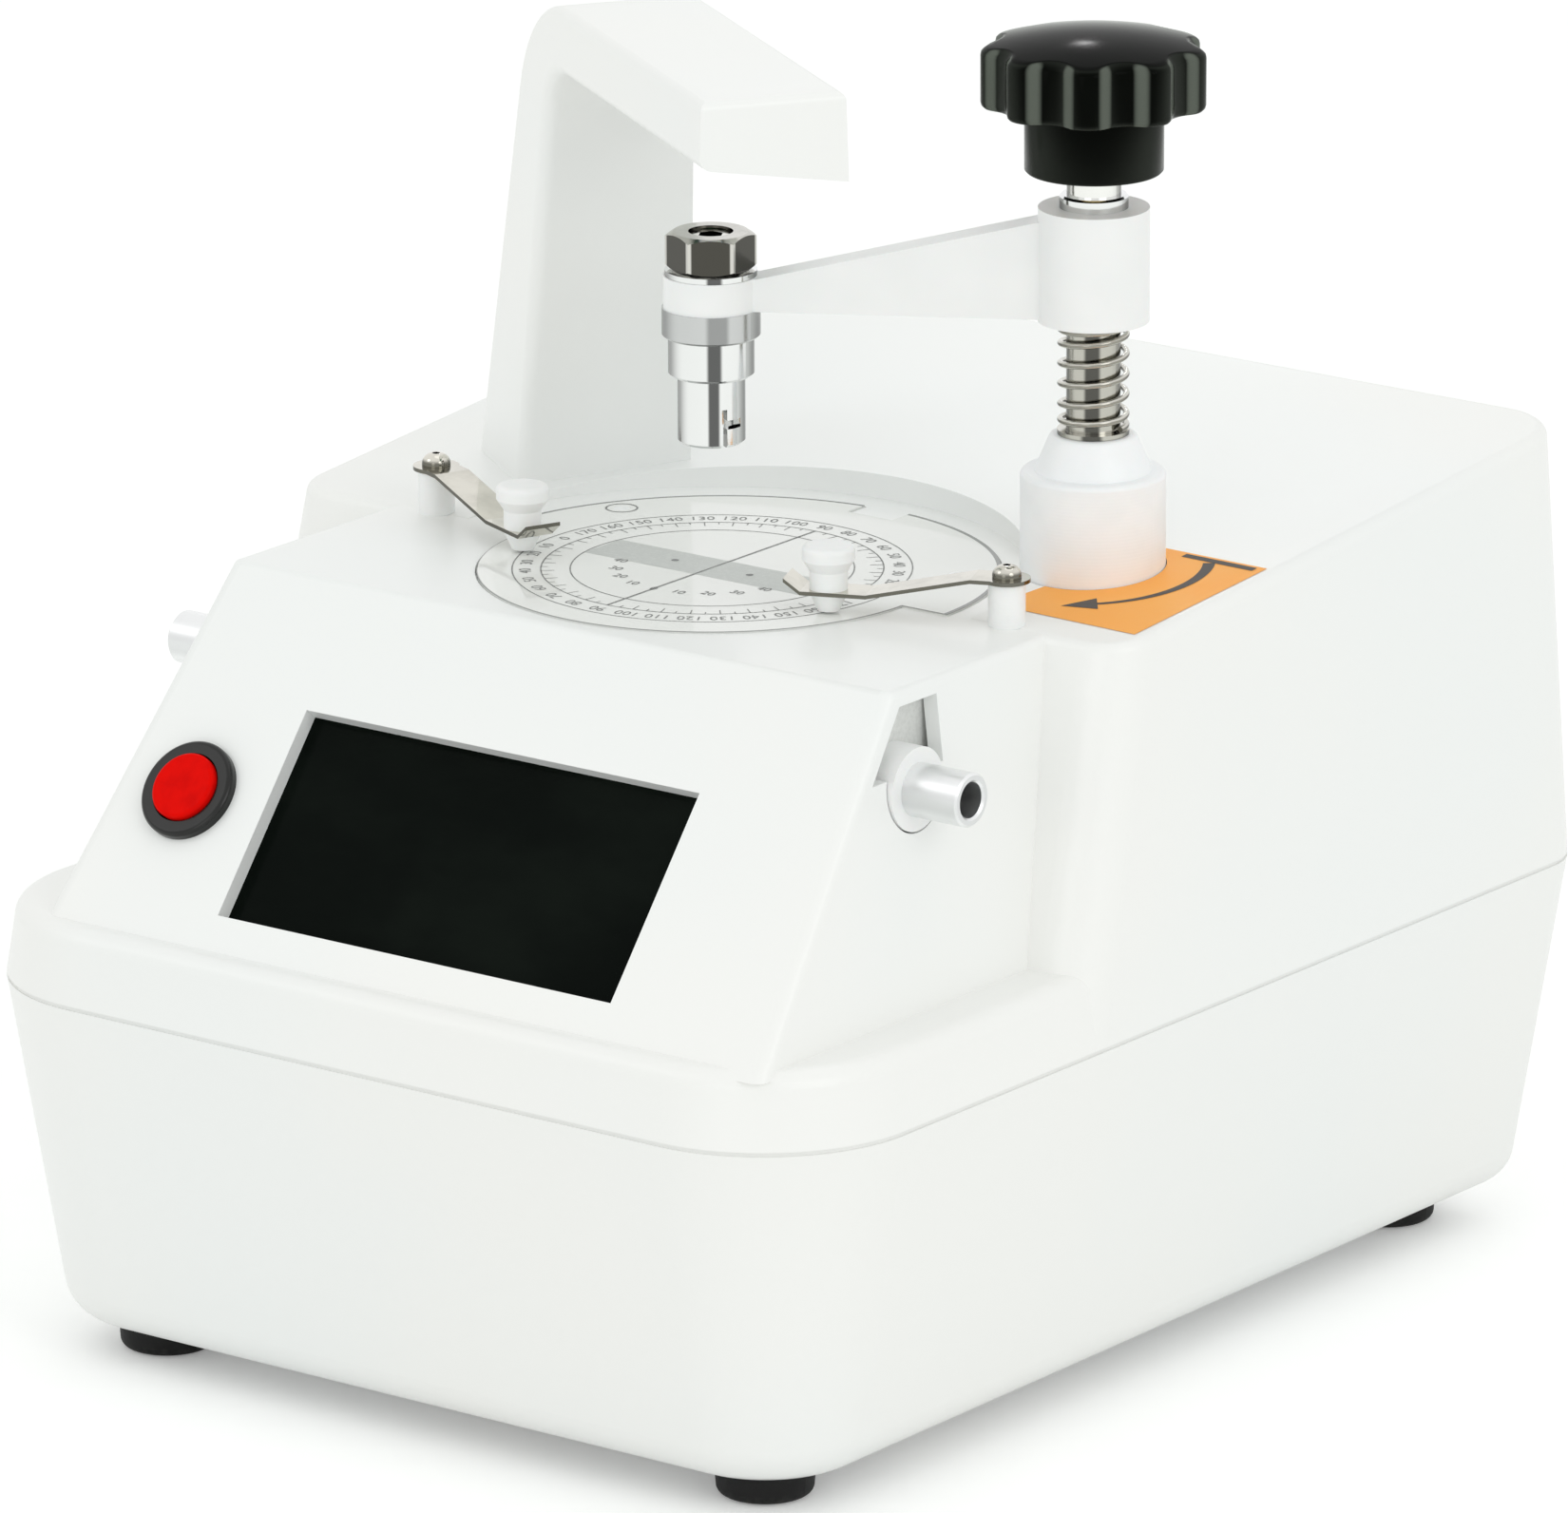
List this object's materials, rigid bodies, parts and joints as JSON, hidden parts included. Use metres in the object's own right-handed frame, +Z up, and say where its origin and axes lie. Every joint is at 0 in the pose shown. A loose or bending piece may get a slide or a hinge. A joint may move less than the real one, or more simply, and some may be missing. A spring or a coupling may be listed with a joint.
{
  "type": "lens center locator",
  "caption": "Bench unit that shows and blocks a spectacle lens centre: sloped display, lit chart stage, lens clips, swing-and-press arm with a block holder.",
  "frame": {"origin": "on the floor plane of the four feet, under the middle of the body", "axes": "+Z up, the sloped display panel faces -Y, +X to the right of someone facing the display"},
  "size_m": [0.1914, 0.2427, 0.2408],
  "materials": {
    "cover_white": "warm white moulding, satin gloss",
    "rubber_black": "matt black",
    "screw_steel": "zinc plated",
    "glass_black": "black, glossy",
    "board_green": "circuit board",
    "black_plastic": "gloss black",
    "cap_red": "gloss red",
    "clear_acrylic": "clear",
    "chart_milky": "milky film with a printed dial",
    "nylon_white": "white nylon",
    "shaft_steel": "ground steel",
    "spring_steel": "drawn wire",
    "dark_steel": "polished, dark reflections",
    "bright_metal": "bright turned metal",
    "tube_aluminium": "bright drawn tube",
    "brass": "turned brass",
    "plate_grey": "light grey",
    "lens_frosted": "frosted diffuser"
  },
  "bodies": {
    "housing": {"base_tray": "cover_white", "top_cover": "cover_white", "rubber_feet": "rubber_black", "foot_screws": "screw_steel", "case_screws": "screw_steel", "display_glass": "glass_black", "display_frame": "plate_grey", "display_board": "board_green", "switch_housing": "black_plastic", "switch_nut": "screw_steel", "stage_plate": "clear_acrylic", "stage_pins": "nylon_white", "chart_disc": "chart_milky", "column_plate": "plate_grey", "column_collar": "nylon_white", "guide_bush": "nylon_white", "lamp_arm": "cover_white", "lamp_screws": "screw_steel", "lamp_board": "board_green", "lamp_lens": "lens_frosted", "side_tube": "tube_aluminium", "side_plates": "plate_grey", "tube_bushes": "nylon_white", "main_board": "board_green", "board_standoffs": "brass", "board_screws": "screw_steel", "camera_board": "board_green", "camera_lens": "black_plastic", "camera_posts": "plate_grey", "dc_inlet": "black_plastic", "left_clip_post": "nylon_white", "left_clip_screw": "bright_metal", "right_clip_post": "nylon_white", "right_clip_screw": "bright_metal"},
    "press_turn": {"spring_seat": "shaft_steel", "press_spring": "spring_steel"},
    "press_head": {"press_shaft": "shaft_steel", "shaft_clip": "dark_steel", "swing_arm": "nylon_white", "retaining_ring": "bright_metal", "star_knob": "black_plastic", "knob_insert": "brass", "holder_body": "bright_metal", "holder_ring": "tube_aluminium", "holder_stud": "dark_steel", "holder_washer": "bright_metal", "holder_nut": "dark_steel"},
    "left_clip": {"left_clip_leaf": "bright_metal", "left_clip_bumper": "nylon_white"},
    "right_clip": {"right_clip_leaf": "bright_metal", "right_clip_bumper": "nylon_white"},
    "power_button": {"button_cap": "cap_red"}
  },
  "joints": [
    {"name": "arm_swing", "type": "hinge", "parent": "housing", "child": "press_turn", "pos_m": [0.0624, 0.0094, 0.1671], "axis": [0, 0, 1], "range_deg": [0, 110]},
    {"name": "press_down", "type": "slide", "parent": "press_turn", "child": "press_head", "axis": [0, 0, -1], "range_m": [0, 0.012], "stiffness_N_per_m": 900, "springref_m": -0.008, "deforming": ["press_spring"]},
    {"name": "left_clip_swing", "type": "hinge", "parent": "housing", "child": "left_clip", "pos_m": [-0.0598, -0.0229, 0.148], "axis": [0, 0, 1], "range_deg": [-75, 0]},
    {"name": "right_clip_swing", "type": "hinge", "parent": "housing", "child": "right_clip", "pos_m": [0.0672, -0.0229, 0.148], "axis": [0, 0, 1], "range_deg": [0, 75]},
    {"name": "button_push", "type": "slide", "parent": "housing", "child": "power_button", "axis": [0, 0.7782, -0.6281], "range_m": [0, 0.002], "stiffness_N_per_m": 400, "springref_m": -0.001}
  ]
}
